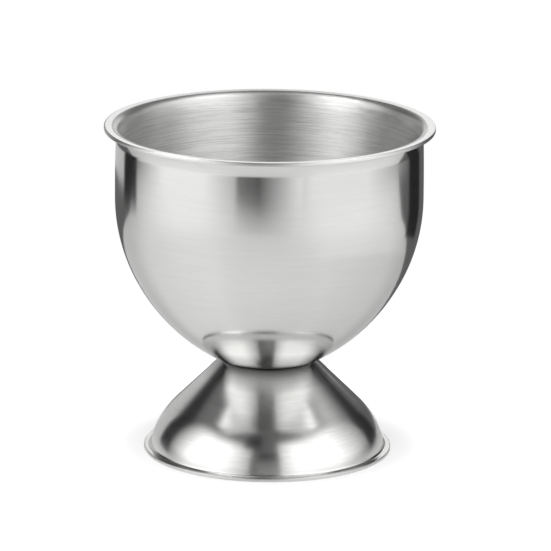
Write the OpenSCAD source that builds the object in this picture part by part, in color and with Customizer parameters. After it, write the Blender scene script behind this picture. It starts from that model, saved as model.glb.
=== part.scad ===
// Egg cup: a spun steel bowl with a turned-out lip, spot welded to a drawn bell-shaped foot.
// The origin is the centre of the base on the table, and +Z points up.

/* [Overall] */
// Height from the table to the top of the lip
cup_h = 52.5; // [50:0.5:56]
// Height of the foot, which is where the floor of the bowl sits
seat_h = 14.9; // [13.5:0.1:16.5]

/* [Bowl] */
// Thickness of the bowl's sheet
bowl_t = 0.6; // [0.4:0.05:0.9]
// Outside diameter of the straight wall
bowl_d = 48.5; // [47:0.1:49]
// Outside radius of the belly below the wall
belly_r = 28; // [26:0.1:30]
// Degrees that the belly turns before the flatter lower curve
belly_turn = 27.5; // [20:0.5:35]
// Outside radius of the lower curve
under_r = 30.7; // [29:0.1:34]
// Diameter at which the lower curve, carried on, would meet the floor
floor_d = 15.6; // [15:0.1:20]
// Outside radius of the bend between the lower curve and the floor
floor_bend_r = 2.5; // [1.5:0.1:3]

/* [Lip] */
// Diameter over the lip
lip_d = 52; // [51.6:0.1:54]
// Outside radius of the gentle sweep that starts the lip
sweep_r = 6.5; // [4:0.1:8]
// Degrees that the sweep leans out
sweep_turn = 16; // [10:1:20]
// Radius of the sharp bend under the lip
lip_bend_r = 0.35; // [0.2:0.05:0.5]
// Rounding of the lip's trimmed edge
lip_edge_r = 0.15; // [0.05:0.01:0.19]

/* [Foot] */
// Thickness of the foot's sheet
foot_t = 0.55; // [0.4:0.05:0.9]
// Diameter over the flange that stands on the table
flange_d = 39.2; // [37:0.1:42]
// Width of the flange, from the bell's lower end out to its edge
flange_w = 1.1; // [0.9:0.1:2]
// Diameter at which the cone, carried on, would meet the crown
crown_d = 14.5; // [13.8:0.1:14.8]
// Radius of the bend between the crown and the cone
crown_bend_r = 1.2; // [1:0.1:1.8]
// Outside radius of the bell's shoulder
shoulder_r = 12.8; // [10:0.1:14]
// Degrees by which the bell's lower end leans from upright
skirt_angle = 12.5; // [8:0.5:20]
// Radius of the bend above the flange
flange_bend_r = 0.45; // [0.3:0.05:0.6]
// Rounding of the flange's trimmed edge
flange_edge_r = 0.13; // [0.05:0.01:0.19]

/* [Spot welds] */
// Number of weld spots
weld_count = 3; // [2:1:6]
// Diameter of the circle that the spots lie on
weld_circle_d = 7.6; // [6.4:0.1:8.4]
// Diameter of one nugget
weld_d = 2.2; // [1.5:0.1:2.8]
// How far a nugget reaches into each sheet
weld_depth = 0.15; // [0.1:0.01:0.2]
// Diameter of the mark that the electrode leaves on either side
mark_d = 3; // [2.8:0.1:3.2]
// Depth of that mark
mark_depth = 0.06; // [0.03:0.01:0.08]

/* [Hidden] */
// Segments round a full circle
round_fn = 180;
// Segments along the long curves, the short bends and the rounded edges
long_steps = 12;
bend_steps = 6;
edge_steps = 3;
// How far a cut runs past the face that it opens
overrun = 0.2;
steel = [0.80, 0.80, 0.79];
weld_grey = [0.55, 0.55, 0.56];

bowl_r = bowl_d / 2;
lip_r = lip_d / 2;
flange_r = flange_d / 2;
crown_r = crown_d / 2;

// A point of a profile is [radius, height]. This one lies at angle a on a circle.
function on_arc(c, r, a) = [c[0] + r * cos(a), c[1] + r * sin(a)];

// An arc as points. One that goes on from the arc before it leaves out its first point.
function arc(c, r, from, to, steps, first = 0) = [
    for (i = [first:steps]) on_arc(c, r, from + (to - from) * i / steps)
];

// A point list turned end for end
function turned(points) = [for (i = [len(points) - 1:-1:0]) points[i]];

// The rounded end of a flange: its upper corner, then its lower one
function flange_end(end_r, top_z, t, edge_r) = concat(
    arc([end_r - edge_r, top_z - edge_r], edge_r, 90, 0, edge_steps),
    arc([end_r - edge_r, top_z - t + edge_r], edge_r, 0, -90, edge_steps)
);

// Bowl: centres of the lip's two bends
bend_c_z = cup_h - bowl_t - lip_bend_r;
sweep_c = [bowl_r + sweep_r, bend_c_z - (sweep_r - lip_bend_r) * sin(sweep_turn)];
lip_bend_c = on_arc(sweep_c, sweep_r - lip_bend_r, 180 - sweep_turn);

// Bowl: the belly's two curves share a tangent, and the lower one meets the floor at floor_d
under_c_r = bowl_r - belly_r + (belly_r - under_r) * cos(belly_turn);
under_rise = sqrt(pow(under_r, 2) - pow(floor_d / 2 - under_c_r, 2));
under_c = [under_c_r, seat_h + under_rise];
belly_c = [bowl_r - belly_r, under_c[1] + (belly_r - under_r) * sin(belly_turn)];

// Bowl: the floor's bend touches the lower curve from inside and the floor from above
floor_bend_rise = under_rise - floor_bend_r;
floor_bend_run = sqrt(pow(under_r - floor_bend_r, 2) - pow(floor_bend_rise, 2));
floor_bend_c = [under_c_r + floor_bend_run, seat_h + floor_bend_r];
floor_bend_from = -atan2(floor_bend_rise, floor_bend_run);

// One face of the bowl from the lip's bend down to the axis, inset from the outer face
function bowl_face(inset) = concat(
    arc(lip_bend_c, lip_bend_r + inset, 90, 180 - sweep_turn, bend_steps),
    arc(sweep_c, sweep_r + inset, 180 - sweep_turn, 180, bend_steps, 1),
    arc(belly_c, belly_r - inset, 0, -belly_turn, long_steps),
    arc(under_c, under_r - inset, -belly_turn, floor_bend_from, long_steps, 1),
    arc(floor_bend_c, floor_bend_r - inset, floor_bend_from, -90, bend_steps, 1),
    [[0, seat_h + inset]]
);

// Foot: the bell ends above the flange's bend, with the shoulder inside it and the bend outside
skirt_end = [flange_r - flange_w, foot_t + flange_bend_r * (1 - sin(skirt_angle))];
shoulder_c = on_arc(skirt_end, -shoulder_r, skirt_angle);
flange_bend_c = on_arc(skirt_end, flange_bend_r, skirt_angle);

// Foot: the cone runs down from the crown and touches the shoulder
crown_reach = [crown_r, seat_h] - shoulder_c;
cone_angle = atan2(crown_reach[1], crown_reach[0]) - acos(shoulder_r / norm(crown_reach));
crown_bend_x = crown_r - crown_bend_r * tan((90 - cone_angle) / 2);
crown_bend_c = [crown_bend_x, seat_h - crown_bend_r];

// One face of the foot from the axis down to the flange's bend, inset from the outer face
function foot_face(inset) = concat(
    [[0, seat_h - inset]],
    arc(crown_bend_c, crown_bend_r - inset, 90, cone_angle, bend_steps),
    arc(shoulder_c, shoulder_r - inset, cone_angle, skirt_angle, long_steps),
    arc(flange_bend_c, flange_bend_r + inset, 180 + skirt_angle, 270, bend_steps, 1)
);

// Cylinders at the weld spots, from one height to another
module at_spots(d, low, high) {
    for (i = [0:weld_count - 1]) {
        rotate([0, 0, 90 + 360 * i / weld_count])
            translate([weld_circle_d / 2, 0, low])
                cylinder(d = d, h = high - low, $fn = round_fn);
    }
}

module bowl() {
    profile = concat(
        bowl_face(0),
        turned(bowl_face(bowl_t)),
        flange_end(lip_r, cup_h, bowl_t, lip_edge_r)
    );
    color(steel) difference() {
        rotate_extrude($fn = round_fn) polygon(profile);
        at_spots(weld_d, seat_h - overrun, seat_h + weld_depth);
        at_spots(mark_d, seat_h + bowl_t - mark_depth, seat_h + bowl_t + overrun);
    }
}

module foot() {
    profile = concat(
        foot_face(0),
        flange_end(flange_r, foot_t, foot_t, flange_edge_r),
        turned(foot_face(foot_t))
    );
    color(steel) difference() {
        rotate_extrude($fn = round_fn) polygon(profile);
        at_spots(weld_d, seat_h - weld_depth, seat_h + overrun);
        at_spots(mark_d, seat_h - foot_t - overrun, seat_h - foot_t + mark_depth);
    }
}

module spot_welds() {
    color(weld_grey) at_spots(weld_d, seat_h - weld_depth, seat_h + weld_depth);
}

bowl();
foot();
spot_welds();
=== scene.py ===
"""Egg cup: a spun steel bowl with a turned-out lip, spot welded to a drawn bell-shaped foot.

The camera comes first. The other sections follow the cup as it is put together: bowl, foot and weld
spots, and then the studio round it.
Sizes are in metres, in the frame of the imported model: the origin is on the table, and +Z is the axis.
"""

import math

import bpy
from mathutils import Matrix, Vector


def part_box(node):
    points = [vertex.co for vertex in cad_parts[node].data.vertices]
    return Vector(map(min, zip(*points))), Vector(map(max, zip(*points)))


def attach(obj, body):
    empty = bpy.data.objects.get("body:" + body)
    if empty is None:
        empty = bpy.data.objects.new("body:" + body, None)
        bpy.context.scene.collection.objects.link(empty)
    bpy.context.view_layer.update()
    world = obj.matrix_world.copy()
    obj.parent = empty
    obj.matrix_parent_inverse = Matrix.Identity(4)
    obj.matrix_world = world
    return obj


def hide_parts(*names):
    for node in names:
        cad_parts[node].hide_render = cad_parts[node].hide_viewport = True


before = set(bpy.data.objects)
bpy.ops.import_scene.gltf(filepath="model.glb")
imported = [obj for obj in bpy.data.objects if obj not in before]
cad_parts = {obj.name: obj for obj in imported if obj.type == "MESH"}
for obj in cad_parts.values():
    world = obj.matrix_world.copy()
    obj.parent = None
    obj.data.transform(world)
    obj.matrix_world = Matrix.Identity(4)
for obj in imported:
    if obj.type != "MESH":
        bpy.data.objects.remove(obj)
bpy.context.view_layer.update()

# Camera
# A long lens about 0.77 m away, 15 degrees above the table. The cup stands a little left of the
# middle and low in the frame, and the picture is turned by half a degree.
mm = 0.001
view_distance = 771.3 * mm
view_elevation = math.radians(14.95)
view_roll = math.radians(0.5)
fitted_point = Vector((0, 0, 26 * mm))
fitted_pixel = (268.6, 288.4)
picture_px = 551
focal_px = 4884
sensor_w = 36

towards_cup = Vector((0, math.cos(view_elevation), -math.sin(view_elevation)))
picture_right = Vector((1, 0, 0))
picture_up = picture_right.cross(towards_cup)
m_per_px = view_distance / focal_px
aim = (fitted_point
       + picture_right * (picture_px / 2 - fitted_pixel[0]) * m_per_px
       - picture_up * (picture_px / 2 - fitted_pixel[1]) * m_per_px)

camera_data = bpy.data.cameras.new("camera")
camera_data.sensor_width = sensor_w
camera_data.lens = sensor_w * focal_px / picture_px
camera = bpy.data.objects.new("camera", camera_data)
camera.location = fitted_point - towards_cup * view_distance
look = (aim - camera.location).to_track_quat("-Z", "Y")
camera.rotation_mode = "QUATERNION"
camera.rotation_quaternion = look @ Matrix.Rotation(view_roll, 3, "Z").to_quaternion()
bpy.context.scene.collection.objects.link(camera)
bpy.context.scene.camera = camera

# Bowl
# One round of 0.6 mm stainless sheet, spun over a former. The outside and the lip's top are polished,
# the inside keeps the circular lines of its brushing, and the cut edge and the sweep just inside the
# lip are left dull. The wall is very slightly barrelled, and the lip tilts up outward a little.
bowl_low, bowl_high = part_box("bowl")
cup_h = bowl_high.z
seat_h = bowl_low.z
lip_r = min(bowl_high.x, bowl_high.y, -bowl_low.x, -bowl_low.y)
bowl_t = 0.6 * mm
bowl_r = 24.25 * mm
barrel_r = 350 * mm
belly_r = 28 * mm
belly_turn = 27.5
under_r = 30.7 * mm
floor_r = 7.8 * mm
floor_bend_r = 2.5 * mm
sweep_r = 6.5 * mm
sweep_turn = 16
lip_bend_r = 0.35 * mm
lip_w = 1.2 * mm
lip_tilt = 3
lip_edge_r = 0.15 * mm
mark_count = 3
mark_circle_r = 3.8 * mm
mark_r = 1.5 * mm
mark_depth = 0.06 * mm
mark_flat_share = 0.75
dull_sweep_h = 1.3 * mm
level_gap = 0.0005 * mm
merge_gap = 0.001 * mm

# How fine the mesh is: degrees round the axis, degrees along each kind of curve, and metres on a flat
degrees_round = 1.25
degrees_along = 1.5
degrees_in_bend = 6
degrees_in_edge = 15
degrees_in_wall = 0.1
degrees_in_sweep = 1
flat_step = 0.15 * mm

# Which finish a sheet has at a point. The sweep inside the lip has the finish of the cut edge
OUTSIDE, INSIDE, EDGE = 0, 1, 2


def on_arc(centre, radius, angle):
    """The point [radius, height] at an angle in degrees on a circle of the profile."""
    turn = math.radians(angle)
    return (centre[0] + radius * math.cos(turn), centre[1] + radius * math.sin(turn))


def arc(centre, radius, start, stop, step=degrees_along):
    """An arc of the profile as points, its first one left out, since the stretch before ends there."""
    steps = max(2, math.ceil(abs(stop - start) / step))
    return [on_arc(centre, radius, start + (stop - start) * i / steps) for i in range(1, steps + 1)]


def straight(start, stop):
    """A straight stretch as points, its first one left out."""
    steps = max(1, math.ceil(math.dist(start, stop) / flat_step))
    return [tuple(a + (b - a) * i / steps for a, b in zip(start, stop)) for i in range(1, steps + 1)]


def rounded_end(end_r, top, thickness, edge_r):
    """The rounded cut edge of a level sheet, from its lower corner to its upper one."""
    lower = arc((end_r - edge_r, top - thickness + edge_r), edge_r, -90, 0, degrees_in_edge)
    upper_c = (end_r - edge_r, top - edge_r)
    upper = [on_arc(upper_c, edge_r, 0)] + arc(upper_c, edge_r, 0, 90, degrees_in_edge)
    return lower + upper


def bowl_face(inset):
    """One face of the bowl from the floor's centre up to the end of the lip's bend."""
    under_c_r = bowl_r - belly_r + (belly_r - under_r) * math.cos(math.radians(belly_turn))
    under_c = (under_c_r, seat_h + math.sqrt(under_r ** 2 - (floor_r - under_c_r) ** 2))
    belly_c = (bowl_r - belly_r, under_c[1] + (belly_r - under_r) * math.sin(math.radians(belly_turn)))

    bend_rise = under_c[1] - seat_h - floor_bend_r
    bend_run = math.sqrt((under_r - floor_bend_r) ** 2 - bend_rise ** 2)
    floor_bend_c = (under_c_r + bend_run, seat_h + floor_bend_r)
    bend_end = -math.degrees(math.atan2(bend_rise, bend_run))

    lip_bend_z = cup_h - bowl_t - lip_bend_r - lip_w * math.tan(math.radians(lip_tilt))
    sweep_c_z = lip_bend_z - (sweep_r - lip_bend_r) * math.sin(math.radians(sweep_turn))
    barrel_c = (bowl_r - barrel_r, belly_c[1])
    barrel_turn = math.degrees(math.asin((sweep_c_z - belly_c[1]) / (barrel_r + sweep_r)))
    sweep_c = on_arc(barrel_c, barrel_r + sweep_r, barrel_turn)
    lip_bend_c = on_arc(sweep_c, sweep_r - lip_bend_r, 180 - sweep_turn)

    centre = (0, seat_h + inset)
    points = [centre]
    points += straight(centre, on_arc(floor_bend_c, floor_bend_r - inset, -90))
    points += arc(floor_bend_c, floor_bend_r - inset, -90, bend_end, degrees_in_bend)
    points += arc(under_c, under_r - inset, bend_end, -belly_turn)
    points += arc(belly_c, belly_r - inset, -belly_turn, 0)
    points += arc(barrel_c, barrel_r - inset, 0, barrel_turn, degrees_in_wall)
    points += arc(sweep_c, sweep_r + inset, 180 + barrel_turn, 180 - sweep_turn, degrees_in_sweep)
    points += arc(lip_bend_c, lip_bend_r + inset, 180 - sweep_turn, 90 + lip_tilt, degrees_in_bend)
    return points


def wire(name, stretches):
    """A profile as a line of points in the XZ plane. Each stretch is (points, finish, pressed): the
    finish that the sheet has there, and which way the electrodes pressed it, up or down."""
    points = [p for stretch in stretches for p in stretch[0]]
    mesh = bpy.data.meshes.new(name)
    mesh.from_pydata([(r, 0, z) for r, z in points], [(i, i + 1) for i in range(len(points) - 1)], [])
    along = [0.0]
    for a, b in zip(points, points[1:]):
        along.append(along[-1] + math.dist(a, b))
    finish = [f for stretch, f, _ in stretches for _ in stretch]
    pressed = [p for stretch, _, p in stretches for _ in stretch]
    for key, values in (("along", along), ("finish", finish), ("pressed", pressed)):
        mesh.attributes.new(key, "FLOAT", "POINT").data.foreach_set("value", values)
    shape = bpy.data.objects.new(name, mesh)
    bpy.context.scene.collection.objects.link(shape)
    return shape


def add(tree, kind, *values, **settings):
    """A new node. Values go to its sockets in order: a socket is linked, None leaves the socket as it
    is, and anything else is set."""
    made = tree.nodes.new(kind)
    for key, value in settings.items():
        setattr(made, key, value)
    sockets = [s for s in made.inputs if s.enabled]
    for socket, value in zip(sockets, values):
        if isinstance(value, bpy.types.NodeSocket):
            tree.links.new(value, socket)
        elif value is not None:
            socket.default_value = value
    return made


def math_node(tree, operation, *values):
    """A Math node's result."""
    return add(tree, "ShaderNodeMath", *values, operation=operation).outputs[0]


def turning_tree():
    """Turns the wire that it is given round the Z axis into a closed sheet, presses the electrodes'
    marks into it and gives each stretch its finish."""
    tree = bpy.data.node_groups.new("turned sheet", "GeometryNodeTree")
    interface = tree.interface
    interface.new_socket("Wire", in_out="INPUT", socket_type="NodeSocketGeometry")
    interface.new_socket("Steps round", in_out="INPUT", socket_type="NodeSocketInt")
    for name in ("Merge distance", "Mark circle radius", "Mark radius", "Flat share of mark", "Mark depth",
                 "Marks"):
        interface.new_socket(name, in_out="INPUT", socket_type="NodeSocketFloat")
    for name in ("Outside", "Inside", "Edge"):
        interface.new_socket(name, in_out="INPUT", socket_type="NodeSocketMaterial")
    interface.new_socket("Sheet", in_out="OUTPUT", socket_type="NodeSocketGeometry")
    given = tree.nodes.new("NodeGroupInput").outputs

    # A grid with one row of vertices for each step round and one vertex in it for each wire point
    wire_points = add(tree, "GeometryNodeAttributeDomainSize", given["Wire"]).outputs["Point Count"]
    rows = add(tree, "FunctionNodeIntegerMath", given["Steps round"], 1, operation="ADD").outputs[0]
    grid = add(tree, "GeometryNodeMeshGrid", 1.0, 1.0, rows, wire_points).outputs["Mesh"]
    index = add(tree, "GeometryNodeInputIndex").outputs[0]
    middle = math_node(tree, "ADD", index, 0.5)
    row = math_node(tree, "FLOOR", math_node(tree, "DIVIDE", middle, wire_points))
    place = math_node(tree, "SUBTRACT", index, math_node(tree, "MULTIPLY", row, wire_points))
    share = math_node(tree, "DIVIDE", row, given["Steps round"])

    def of_wire(value, data_type):
        read = add(tree, "GeometryNodeSampleIndex", given["Wire"], value, place, data_type=data_type)
        return read.outputs[0]

    def named(key):
        read = add(tree, "GeometryNodeInputNamedAttribute", key, data_type="FLOAT").outputs[0]
        return of_wire(read, "FLOAT")

    # The point on the wire, turned by its row's share of a circle
    on_wire = of_wire(add(tree, "GeometryNodeInputPosition").outputs[0], "FLOAT_VECTOR")
    turn = math_node(tree, "MULTIPLY", share, math.tau)
    turned = add(tree, "ShaderNodeVectorRotate", rotation_type="Z_AXIS")
    tree.links.new(on_wire, turned.inputs["Vector"])
    tree.links.new(turn, turned.inputs["Angle"])

    # How far the point is from the nearest mark, and how deep the sheet is pressed there. The first
    # mark is at the back
    radius = add(tree, "ShaderNodeSeparateXYZ", on_wire).outputs[0]
    pitch = math_node(tree, "DIVIDE", math.tau, given["Marks"])
    from_first = math_node(tree, "SUBTRACT", turn, math.tau / 4)
    off_mark = math_node(tree, "WRAP", from_first, math_node(tree, "MULTIPLY", pitch, 0.5),
                         math_node(tree, "MULTIPLY", pitch, -0.5))
    aside = math_node(tree, "MULTIPLY", radius, math_node(tree, "SINE", off_mark))
    towards = math_node(tree, "MULTIPLY", radius, math_node(tree, "COSINE", off_mark))
    out = math_node(tree, "SUBTRACT", towards, given["Mark circle radius"])
    gap = math_node(tree, "SQRT", math_node(tree, "ADD", math_node(tree, "MULTIPLY", aside, aside),
                                            math_node(tree, "MULTIPLY", out, out)))
    flat_r = math_node(tree, "MULTIPLY", given["Mark radius"], given["Flat share of mark"])
    depth = add(tree, "ShaderNodeMapRange", gap, given["Mark radius"], flat_r, 0.0, given["Mark depth"],
                interpolation_type="SMOOTHSTEP").outputs[0]
    lift = add(tree, "ShaderNodeCombineXYZ", 0.0, 0.0, math_node(tree, "MULTIPLY", depth, named("pressed")))

    sheet = add(tree, "GeometryNodeSetPosition", grid, True, turned.outputs[0], lift.outputs[0]).outputs[0]
    uv = add(tree, "ShaderNodeCombineXYZ", share, named("along"), 0.0).outputs[0]
    uv = add(tree, "GeometryNodeFieldOnDomain", uv, data_type="FLOAT_VECTOR", domain="POINT").outputs[0]
    sheet = add(tree, "GeometryNodeStoreNamedAttribute", sheet, True, "UVMap", uv,
                data_type="FLOAT2", domain="CORNER").outputs[0]
    for key in ("along", "finish"):
        sheet = add(tree, "GeometryNodeStoreNamedAttribute", sheet, True, key, named(key),
                    data_type="FLOAT", domain="POINT").outputs[0]
    sheet = add(tree, "GeometryNodeMergeByDistance", sheet, True, given["Merge distance"]).outputs[0]
    sheet = add(tree, "GeometryNodeSetShadeSmooth", sheet, True, True, domain="FACE").outputs[0]
    sheet = add(tree, "GeometryNodeRealizeInstances", sheet).outputs[0]
    finish = add(tree, "GeometryNodeInputNamedAttribute", "finish", data_type="FLOAT").outputs[0]
    for level, name in ((OUTSIDE, "Outside"), (INSIDE, "Inside"), (EDGE, "Edge")):
        here = math_node(tree, "COMPARE", finish, float(level), 0.5)
        sheet = add(tree, "GeometryNodeSetMaterial", sheet, here, given[name]).outputs[0]
    add(tree, "NodeGroupOutput", sheet)
    return tree


turned_sheet = turning_tree()


def run_tree(shape, tree, settings):
    """Runs a tree on a shape, with its inputs set by their names, and leaves the result as a plain mesh."""
    modifier = shape.modifiers.new("tree", "NODES")
    modifier.node_group = tree
    for item in tree.interface.items_tree:
        if item.in_out == "INPUT" and item.name in settings:
            modifier[item.identifier] = settings[item.name]
    bpy.context.view_layer.update()
    depsgraph = bpy.context.evaluated_depsgraph_get()
    mesh = bpy.data.meshes.new_from_object(shape.evaluated_get(depsgraph), preserve_all_data_layers=True,
                                           depsgraph=depsgraph)
    shape.modifiers.remove(modifier)
    shape.data = mesh
    return shape


def turn_sheet(shape, finishes, step=degrees_round):
    """Turns a wire into its sheet. Finishes are the materials of its outside, its inside and its edge."""
    return run_tree(shape, turned_sheet, {
        "Steps round": round(360 / step), "Merge distance": merge_gap, "Mark circle radius": mark_circle_r,
        "Mark radius": mark_r, "Flat share of mark": mark_flat_share, "Mark depth": mark_depth,
        "Marks": float(mark_count), "Outside": finishes[OUTSIDE], "Inside": finishes[INSIDE],
        "Edge": finishes[EDGE]})


def steel(name, bright, dull, roughness, anisotropy, line_gap, line_contrast, line_depth, smudge, joint_shade_reach=0):
    """Stainless steel with fine lines that run round the axis. Line_gap is the width of one line, and
    line_contrast and smudge say how much the lines and the broad cloudy patches vary the finish.
    The last argument is how far from the joint of bowl and foot the colour is darkened: painted shade where
    the two sheets meet."""
    # Two sets of lines. For each: how often a line changes on its way round, how much finer it is than
    # line_gap, and the noise's detail
    line_sets = ((2.3, 1.0, 2.0), (8.9, 3.3, 3.0))
    lacunarity = 2.15
    noise_shift = (4.37, 7.61, 0)
    noise_low, noise_high = 0.35, 0.65
    clouds_in_metre = 120.0
    cloud_detail = 2.0
    rough_spread = 0.15
    joint_shade_tone = 0.4

    material = bpy.data.materials.new(name)
    material.use_nodes = True
    tree = material.node_tree
    tree.nodes.clear()

    # Lines: noise that is long round the axis and narrow along the profile
    where = add(tree, "ShaderNodeTexCoord").outputs["Object"]
    flat = add(tree, "ShaderNodeVectorMath", where, (1, 1, 0), operation="MULTIPLY").outputs[0]
    round_axis = add(tree, "ShaderNodeVectorMath", flat, operation="NORMALIZE").outputs[0]
    round_axis = add(tree, "ShaderNodeVectorMath", round_axis, noise_shift, operation="ADD").outputs[0]
    along = add(tree, "ShaderNodeAttribute", attribute_name="along").outputs["Fac"]
    in_lines = math_node(tree, "DIVIDE", along, line_gap)
    across = add(tree, "ShaderNodeCombineXYZ", 0.0, 0.0, in_lines).outputs[0]
    heights = []
    for changes, fineness, detail in line_sets:
        streak = add(tree, "ShaderNodeVectorMath", round_axis, operation="SCALE")
        streak.inputs["Scale"].default_value = changes
        lines = add(tree, "ShaderNodeVectorMath", across, operation="SCALE")
        lines.inputs["Scale"].default_value = fineness
        at = add(tree, "ShaderNodeVectorMath", streak.outputs[0], lines.outputs[0], operation="ADD")
        noise = add(tree, "ShaderNodeTexNoise")
        tree.links.new(at.outputs[0], noise.inputs["Vector"])
        noise.inputs["Scale"].default_value = 1.0
        noise.inputs["Detail"].default_value = detail
        noise.inputs["Lacunarity"].default_value = lacunarity
        heights.append(noise.outputs["Fac"])
    lines = math_node(tree, "MULTIPLY", math_node(tree, "ADD", *heights), 0.5)

    # Smudges: broad soft clouds, as on handled polish
    clouds = add(tree, "ShaderNodeTexNoise")
    tree.links.new(where, clouds.inputs["Vector"])
    clouds.inputs["Scale"].default_value = clouds_in_metre
    clouds.inputs["Detail"].default_value = cloud_detail
    cloud = math_node(tree, "SUBTRACT", clouds.outputs["Fac"], 0.5)

    # Tone is 0 where the steel is dull and 1 where it is bright. The Mix node's colours are its inputs 6
    # and 7 and its output 2
    line_tone = add(tree, "ShaderNodeMapRange", lines, noise_low, noise_high, 0.5 - line_contrast,
                    0.5 + line_contrast).outputs[0]
    tone = math_node(tree, "ADD", line_tone, math_node(tree, "MULTIPLY", cloud, smudge))
    colour = add(tree, "ShaderNodeMix", data_type="RGBA")
    tree.links.new(tone, colour.inputs[0])
    colour.inputs[6].default_value = (*dull, 1)
    colour.inputs[7].default_value = (*bright, 1)
    colour = colour.outputs[2]
    # Painted shade: the colour darkens towards the height where the bowl meets the foot
    if joint_shade_reach:
        height = add(tree, "ShaderNodeSeparateXYZ", where).outputs[2]
        off_joint = math_node(tree, "ABSOLUTE", math_node(tree, "SUBTRACT", height, seat_h))
        shade_near_joint = add(tree, "ShaderNodeMapRange", off_joint, 0.0, joint_shade_reach, joint_shade_tone, 1.0).outputs[0]
        colour = add(tree, "ShaderNodeVectorMath", colour, shade_near_joint, operation="MULTIPLY").outputs[0]
    rough = add(tree, "ShaderNodeMapRange", tone, 0.0, 1.0, roughness * (1 + rough_spread),
                roughness * (1 - rough_spread)).outputs[0]
    bump = add(tree, "ShaderNodeBump")
    bump.inputs["Strength"].default_value = 1.0
    bump.inputs["Distance"].default_value = line_depth
    tree.links.new(lines, bump.inputs["Height"])

    # The gloss is stretched across the lines, so its tangent is turned a quarter from the way round
    shader = add(tree, "ShaderNodeBsdfPrincipled")
    shader.inputs["Metallic"].default_value = 1.0
    shader.inputs["Anisotropic"].default_value = anisotropy
    shader.inputs["Anisotropic Rotation"].default_value = 0.25
    tangent = add(tree, "ShaderNodeTangent", direction_type="UV_MAP", uv_map="UVMap")
    tree.links.new(colour, shader.inputs["Base Color"])
    tree.links.new(rough, shader.inputs["Roughness"])
    tree.links.new(bump.outputs[0], shader.inputs["Normal"])
    tree.links.new(tangent.outputs[0], shader.inputs["Tangent"])
    result = add(tree, "ShaderNodeOutputMaterial")
    tree.links.new(shader.outputs[0], result.inputs["Surface"])
    return material


bright_steel = (0.79, 0.79, 0.78)
dull_steel = (0.7, 0.7, 0.693)
polish = steel("polished steel", bright_steel, dull_steel, roughness=0.13, anisotropy=0.2,
               line_gap=0.5 * mm, line_contrast=0.16, line_depth=0.0002 * mm, smudge=0.2, joint_shade_reach=1.0 * mm)
# Painted light: the brushed inside is coloured lighter than the polished outside of the same sheet, for
# more light inside the bowl
brushing = steel("brushed steel", (1.0, 1.0, 0.99), (0.78, 0.78, 0.773), roughness=0.39, anisotropy=1.0,
                 line_gap=0.13 * mm, line_contrast=1.1, line_depth=0.014 * mm, smudge=0.15)
trimming = steel("trimmed edge", bright_steel, dull_steel, roughness=0.4, anisotropy=0.7, line_gap=0.1 * mm,
                 line_contrast=0.2, line_depth=0.001 * mm, smudge=0.2)

outer_face = bowl_face(0)
inner_face = bowl_face(bowl_t)
lip_under = straight(outer_face[-1], (lip_r - lip_edge_r, cup_h - bowl_t))
lip_top = straight(inner_face[-1], (lip_r - lip_edge_r, cup_h))
# How many points of the inner face are on the level floor, and how many are below the dull sweep
floor_count = sum(1 for r, z in inner_face if z < seat_h + bowl_t + level_gap)
wall_count = sum(1 for r, z in inner_face if z < cup_h - dull_sweep_h)
bowl = turn_sheet(wire("bowl_sheet", [
    (outer_face + lip_under, OUTSIDE, 0),
    (rounded_end(lip_r, cup_h, bowl_t, lip_edge_r)[:-1], EDGE, 0),
    (lip_top[::-1], OUTSIDE, 0),
    (inner_face[:wall_count - 1:-1], EDGE, 0),
    (inner_face[wall_count - 1:floor_count - 1:-1], INSIDE, 0),
    (inner_face[floor_count - 1::-1], INSIDE, -1),
]), (polish, brushing, trimming))
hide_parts("bowl")
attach(bowl, "root")

# Foot
# One round of 0.55 mm sheet, drawn into a hollow bell with a flat crown and a flange that stands on
# the table. The outside is satin polished, the inside is left as drawn, and the cut edge is dull.
foot_low, foot_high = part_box("foot")
flange_r = min(foot_high.x, foot_high.y, -foot_low.x, -foot_low.y)
foot_t = 0.55 * mm
flange_w = 1.1 * mm
crown_r = 7.25 * mm
crown_bend_r = 1.2 * mm
shoulder_r = 12.8 * mm
skirt_angle = 12.5
flange_bend_r = 0.45 * mm
flange_edge_r = 0.13 * mm


def foot_face(inset):
    """One face of the foot from the crown's centre down to the end of the flange's bend."""
    lean = math.radians(skirt_angle)
    skirt_end = (flange_r - flange_w, foot_t + flange_bend_r * (1 - math.sin(lean)))
    shoulder_c = on_arc(skirt_end, -shoulder_r, skirt_angle)
    flange_bend_c = on_arc(skirt_end, flange_bend_r, skirt_angle)

    # The cone runs down from the crown and touches the shoulder
    reach = (crown_r - shoulder_c[0], seat_h - shoulder_c[1])
    cone = math.degrees(math.atan2(reach[1], reach[0]) - math.acos(shoulder_r / math.hypot(*reach)))
    bend_x = crown_r - crown_bend_r * math.tan(math.radians((90 - cone) / 2))
    crown_bend_c = (bend_x, seat_h - crown_bend_r)

    centre = (0, seat_h - inset)
    cone_end = on_arc(shoulder_c, shoulder_r - inset, cone)
    points = [centre]
    points += straight(centre, on_arc(crown_bend_c, crown_bend_r - inset, 90))
    points += arc(crown_bend_c, crown_bend_r - inset, 90, cone, degrees_in_bend)
    points += straight(points[-1], cone_end)
    points += arc(shoulder_c, shoulder_r - inset, cone, skirt_angle)
    points += arc(flange_bend_c, flange_bend_r + inset, 180 + skirt_angle, 270, degrees_in_bend)
    return points


satin = steel("satin steel", bright_steel, dull_steel, roughness=0.2, anisotropy=0.35, line_gap=0.3 * mm,
              line_contrast=0.35, line_depth=0.0008 * mm, smudge=0.25, joint_shade_reach=3.2 * mm)
drawn = steel("drawn steel", (0.6, 0.6, 0.59), (0.48, 0.48, 0.475), roughness=0.36, anisotropy=0.5,
              line_gap=0.4 * mm, line_contrast=0.3, line_depth=0.001 * mm, smudge=0.4)

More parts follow.
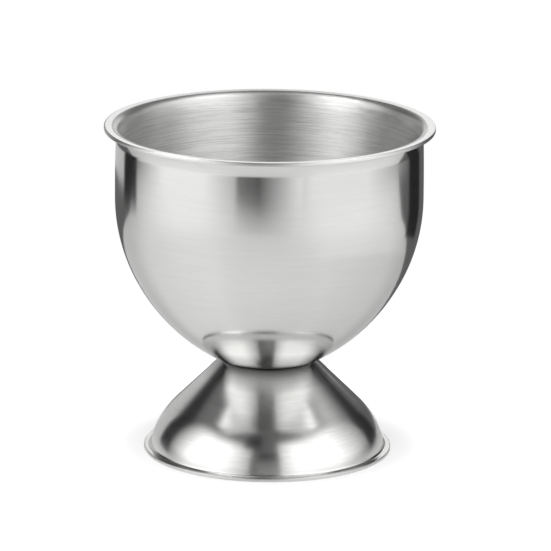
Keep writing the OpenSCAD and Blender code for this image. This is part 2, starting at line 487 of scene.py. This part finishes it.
outer_bell = foot_face(0)
inner_bell = foot_face(foot_t)
flange_top = straight(outer_bell[-1], (flange_r - flange_edge_r, foot_t))
flange_under = straight(inner_bell[-1], (flange_r - flange_edge_r, 0))
crown_count = sum(1 for r, z in inner_bell if z > seat_h - foot_t - level_gap)
# The wire runs from the inside of the crown to the outside, the same way round as the bowl's
foot = turn_sheet(wire("foot_sheet", [
    (inner_bell[:crown_count], INSIDE, 1),
    (inner_bell[crown_count:], INSIDE, 0),
    (flange_under, INSIDE, 0),
    (rounded_end(flange_r, foot_t, foot_t, flange_edge_r)[:-1], EDGE, 0),
    (flange_top[::-1], OUTSIDE, 0),
    (outer_bell[::-1], OUTSIDE, 0),
]), (satin, drawn, trimming))
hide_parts("foot")
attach(foot, "root")

# Weld spots
# Three nuggets of fused metal that join the bowl's floor to the foot's crown, made by resistance
# welding. Each is a thin lens with an uneven skin, and they lie between the sheets.
nugget_r = 1.08 * mm
nugget_depth = 0.145 * mm
skin_depth = 0.025 * mm
skin_bumps_in_metre = 2200.0
skin_seed = 3.0
lens_steps = 24
degrees_round_lens = 6


def nuggets_tree():
    """Sets the lens that it is given at each place of a circle and makes its skin uneven."""
    tree = bpy.data.node_groups.new("weld nuggets", "GeometryNodeTree")
    interface = tree.interface
    interface.new_socket("Lens", in_out="INPUT", socket_type="NodeSocketGeometry")
    interface.new_socket("Count", in_out="INPUT", socket_type="NodeSocketInt")
    for name in ("Circle radius", "Skin depth", "Skin bumps in a metre", "Seed"):
        interface.new_socket(name, in_out="INPUT", socket_type="NodeSocketFloat")
    interface.new_socket("Metal", in_out="INPUT", socket_type="NodeSocketMaterial")
    interface.new_socket("Nuggets", in_out="OUTPUT", socket_type="NodeSocketGeometry")
    given = tree.nodes.new("NodeGroupInput").outputs

    # The circle is turned so that the first place is at the back, as the electrodes' marks are
    circle = add(tree, "GeometryNodeMeshCircle", given["Count"], given["Circle radius"]).outputs[0]
    circle = add(tree, "GeometryNodeTransform", circle, (0, 0, 0), (0, 0, math.tau / 4)).outputs[0]
    placed = add(tree, "GeometryNodeInstanceOnPoints", circle, True, given["Lens"]).outputs[0]
    placed = add(tree, "GeometryNodeRealizeInstances", placed).outputs[0]

    noise = add(tree, "ShaderNodeTexNoise", noise_dimensions="4D")
    tree.links.new(add(tree, "GeometryNodeInputPosition").outputs[0], noise.inputs["Vector"])
    tree.links.new(given["Seed"], noise.inputs["W"])
    tree.links.new(given["Skin bumps in a metre"], noise.inputs["Scale"])
    sunk = math_node(tree, "MULTIPLY", noise.outputs["Fac"], given["Skin depth"])
    outward = add(tree, "GeometryNodeInputNormal").outputs[0]
    inward = add(tree, "ShaderNodeVectorMath", outward, operation="SCALE")
    tree.links.new(math_node(tree, "MULTIPLY", sunk, -1.0), inward.inputs["Scale"])
    placed = add(tree, "GeometryNodeSetPosition", placed, True, None, inward.outputs[0]).outputs[0]
    placed = add(tree, "GeometryNodeSetShadeSmooth", placed, True, True, domain="FACE").outputs[0]
    placed = add(tree, "GeometryNodeSetMaterial", placed, True, given["Metal"]).outputs[0]
    add(tree, "NodeGroupOutput", placed)
    return tree


weld = steel("fused metal", (0.56, 0.56, 0.57), (0.42, 0.42, 0.43), roughness=0.5, anisotropy=0.0,
             line_gap=0.3 * mm, line_contrast=0.2, line_depth=0.01 * mm, smudge=0.8)
lens_turns = [math.pi * (i / lens_steps - 0.5) for i in range(lens_steps + 1)]
lens = [(nugget_r * math.cos(turn), seat_h + nugget_depth * math.sin(turn)) for turn in lens_turns]
nuggets = turn_sheet(wire("spot_nuggets", [(lens, EDGE, 0)]), (weld, weld, weld), degrees_round_lens)
run_tree(nuggets, nuggets_tree(), {
    "Count": mark_count, "Circle radius": mark_circle_r, "Skin depth": skin_depth,
    "Skin bumps in a metre": skin_bumps_in_metre, "Seed": skin_seed, "Metal": weld})
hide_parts("spot_welds")
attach(nuggets, "root")

# Studio
# A small white table stands between two softboxes that curve round its sides, with plain lights above
# and three small ones close over the mouth for the bowl's inside. Black flags, grey boards and the dim
# room give the steel its dark reflections, and a white cloth hangs behind.
softbox_r = 232 * mm
front_low_r = 228 * mm
front_low_top = 18 * mm
below_table = -15 * mm
mouth_light_h = 95 * mm
ceiling_h = 310 * mm
black = 0.02
hard_edge = 0.001
steps_in_curve = 16


def faded(tree, place, start, stop, low=0.0, curve="SMOOTHSTEP"):
    """A factor that rises from low at start to 1 at stop."""
    risen = add(tree, "ShaderNodeMapRange", place, start, stop, low, 1.0, interpolation_type=curve)
    return risen.outputs[0]


def glowing(name, radiance, side_fade=hard_edge, side_level=0.0, top_fade=hard_edge, foot_fade=hard_edge,
            foot_level=1.0, end_fade=hard_edge, end_level=1.0):
    """A soft glow, fainter towards the edges. Each fade is a share of the board's width or height, and
    the glow is whole at its inner end. The first edge has side_level of the glow and the last one
    end_level. The top fades out. The foot has foot_level of it up to the middle of its fade."""
    material = bpy.data.materials.new(name)
    material.use_nodes = True
    tree = material.node_tree
    tree.nodes.clear()
    place = add(tree, "ShaderNodeUVMap", uv_map="UVMap").outputs[0]
    across, up, _ = add(tree, "ShaderNodeSeparateXYZ", place).outputs
    at_side = faded(tree, across, 0.0, side_fade, side_level, "LINEAR")
    at_top = faded(tree, up, 1.0, 1.0 - top_fade)
    at_foot = faded(tree, up, foot_fade / 2, foot_fade, foot_level)
    at_end = faded(tree, across, 1.0, 1.0 - end_fade, end_level, "LINEAR")
    strength = radiance
    for share in (at_side, at_top, at_foot, at_end):
        strength = math_node(tree, "MULTIPLY", strength, share)
    glow = add(tree, "ShaderNodeEmission", (1, 1, 1, 1), strength).outputs[0]
    result = add(tree, "ShaderNodeOutputMaterial")
    tree.links.new(glow, result.inputs["Surface"])
    return material


def board(name, corners, steps, radiance, **fades):
    """A glowing stage board. Corners gives its lower and upper corner at a share of its width. The
    camera doesn't see it."""
    lower_and_upper = [corners(i / steps) for i in range(steps + 1)]
    mesh = bpy.data.meshes.new(name)
    mesh.from_pydata([p for pair in lower_and_upper for p in pair], [],
                     [(2 * i, 2 * i + 2, 2 * i + 3, 2 * i + 1) for i in range(steps)])
    uv = mesh.uv_layers.new(name="UVMap").data
    for loop in mesh.loops:
        uv[loop.index].uv = (loop.vertex_index // 2 / steps, loop.vertex_index % 2)
    mesh.materials.append(glowing(name, radiance, **fades))
    shape = bpy.data.objects.new(name, mesh)
    shape.visible_camera = False
    bpy.context.scene.collection.objects.link(shape)


def upright(name, start, stop, distance, bottom, top, radiance, lean=0, **fades):
    """A board that stands round the cup between two azimuths: 0 is behind the cup, 90 to its right. Lean
    is how many degrees its first edge leans towards the other one at the top."""
    def corners(share):
        pair = []
        for z, first in ((bottom, start), (top, start + math.copysign(lean, stop - start))):
            a = math.radians(first + (stop - first) * share)
            pair.append((distance * math.sin(a), distance * math.cos(a), z))
        return pair
    board(name, corners, steps_in_curve, radiance, **fades)


def overhead(name, inner, outer, front, back, height, radiance, **fades):
    """A level board above the cup, from x = inner to x = outer and from y = front to y = back. Its first
    edge is the front one, and its top is the outer one."""
    def corners(share):
        y = front + (back - front) * share
        return [(inner, y, height), (outer, y, height)]
    board(name, corners, 1, radiance, **fades)


upright("left_softbox", -62, -163, softbox_r, 0, 300 * mm, 1.66, lean=12, side_fade=0.36,
        top_fade=0.45, foot_fade=0.14, foot_level=0.66, end_fade=0.3, end_level=0.36)
upright("right_softbox", 49, 167, softbox_r, 0, 350 * mm, 1.52, side_fade=0.48,
        top_fade=0.43, foot_fade=0.11, foot_level=0.64, end_fade=0.15, end_level=0.55)
overhead("left_mouth_light", -28 * mm, -44 * mm, -19 * mm, 14 * mm, mouth_light_h, 6.0)
overhead("middle_mouth_light", -2 * mm, 15 * mm, -24 * mm, 10 * mm, mouth_light_h, 0.6)
overhead("right_mouth_light", 15 * mm, 40 * mm, -24 * mm, 12 * mm, mouth_light_h, 2.3)
overhead("left_top_light", -50 * mm, -300 * mm, -125 * mm, -60 * mm, ceiling_h, 0.68)
overhead("right_top_light", 50 * mm, 300 * mm, -125 * mm, -60 * mm, ceiling_h, 0.6)
overhead("left_high_light", -50 * mm, -208 * mm, -60 * mm, 50 * mm, ceiling_h, 1.7,
         side_fade=0.35, side_level=0.4)
overhead("right_high_light", 50 * mm, 218 * mm, -60 * mm, 50 * mm, ceiling_h, 1.6,
         side_fade=0.35, side_level=0.4)
upright("left_flag", -69.5, -49, 185 * mm, 0, 150 * mm, black)
upright("right_flag", 42, 63.5, 112 * mm, 0, 62 * mm, black)
upright("mouth_flag", -154, -173, 80 * mm, 62 * mm, 140 * mm, black)
upright("back_cloth", -28, 28, 260 * mm, 50 * mm, 138 * mm, 1.06)
upright("left_back_board", -47, -8, 240 * mm, -10 * mm, 130 * mm, 0.6, top_fade=0.4)
upright("front_board", -170, -194, 240 * mm, front_low_top, 170 * mm, 0.25, top_fade=0.7)
upright("front_low_shade", -157, -171, front_low_r, below_table, front_low_top, 0.1)
upright("front_low_board", -171, -203, front_low_r, below_table, front_low_top, 1.0, side_fade=1.0)

# Table: its corners in mm. Its back edge runs close behind the cup, so that the polish mirrors the dim
# room beyond it there
table_corners = [(-300, -210), (300, -210), (300, 70), (110, 57), (40, 45), (-20, 48), (-50, 86),
                 (-300, 92)]
table_white = 0.81
seen_white = 0.85
seen_glow = 0.94
mirrored_glow = 0.31

table_mesh = bpy.data.meshes.new("table")
table_points = [(x * mm, y * mm, 0) for x, y in table_corners]
table_mesh.from_pydata(table_points, [], [tuple(range(len(table_points)))])
table = bpy.data.objects.new("table", table_mesh)
table_top = bpy.data.materials.new("table top")
table_top.use_nodes = True
tree = table_top.node_tree
tree.nodes.clear()
where = add(tree, "ShaderNodeTexCoord").outputs["Object"]
distance = add(tree, "ShaderNodeVectorMath", where, operation="LENGTH").outputs["Value"]
direction = add(tree, "ShaderNodeVectorMath", where, operation="NORMALIZE").outputs[0]
aside, behind, _ = add(tree, "ShaderNodeSeparateXYZ", direction).outputs

# Painted shade: the table is greyer behind the cup, straight before it, and close by on its right
close_right = faded(tree, aside, 1.0, 0.0, 0.9)
shade = math_node(tree, "MAXIMUM", close_right, faded(tree, distance, 50 * mm, 90 * mm))
white = math_node(tree, "MULTIPLY", table_white, faded(tree, behind, 0.6, 0.05, 0.65))
white = math_node(tree, "MULTIPLY", white, faded(tree, behind, -1.0, -0.75, 0.87))
white = math_node(tree, "MULTIPLY", white, shade)

# A glow makes it white to the camera, and the steel mirrors a third of it. The glow is weaker close round
# the foot, so that the table's own shading and the cup's shadow show there, and part of the grey ring round
# the foot is painted shade from that weaker glow
path = add(tree, "ShaderNodeLightPath").outputs
white = math_node(tree, "MAXIMUM", white, math_node(tree, "MULTIPLY", path["Is Camera Ray"], seen_white))
lit = add(tree, "ShaderNodeBsdfDiffuse", white).outputs[0]
off_foot = faded(tree, distance, 19 * mm, 34 * mm, 0.45)
seen = math_node(tree, "MULTIPLY", path["Is Camera Ray"], off_foot)
mirrored = math_node(tree, "MULTIPLY", path["Is Glossy Ray"], mirrored_glow)
mirrored = math_node(tree, "MULTIPLY", mirrored, shade)
seen = math_node(tree, "MULTIPLY_ADD", seen, seen_glow, mirrored)
glow = add(tree, "ShaderNodeEmission", (1, 1, 1, 1), seen).outputs[0]
both = add(tree, "ShaderNodeAddShader", lit, glow).outputs[0]
result = add(tree, "ShaderNodeOutputMaterial")
tree.links.new(both, result.inputs["Surface"])
table_mesh.materials.append(table_top)
bpy.context.scene.collection.objects.link(table)

# The room is white to the camera, and dim in what the steel mirrors
room_seen = 1.0
room = 0.12
world = bpy.data.worlds.new("studio")
bpy.context.scene.world = world
world.use_nodes = True
tree = world.node_tree
tree.nodes.clear()
path = add(tree, "ShaderNodeLightPath").outputs
strength = add(tree, "ShaderNodeMapRange", path["Is Camera Ray"], 0.0, 1.0, room, room_seen).outputs[0]
background = add(tree, "ShaderNodeBackground", (1, 1, 1, 1), strength).outputs[0]
result = add(tree, "ShaderNodeOutputWorld")
tree.links.new(background, result.inputs["Surface"])

bpy.context.scene.view_settings.view_transform = "Standard"
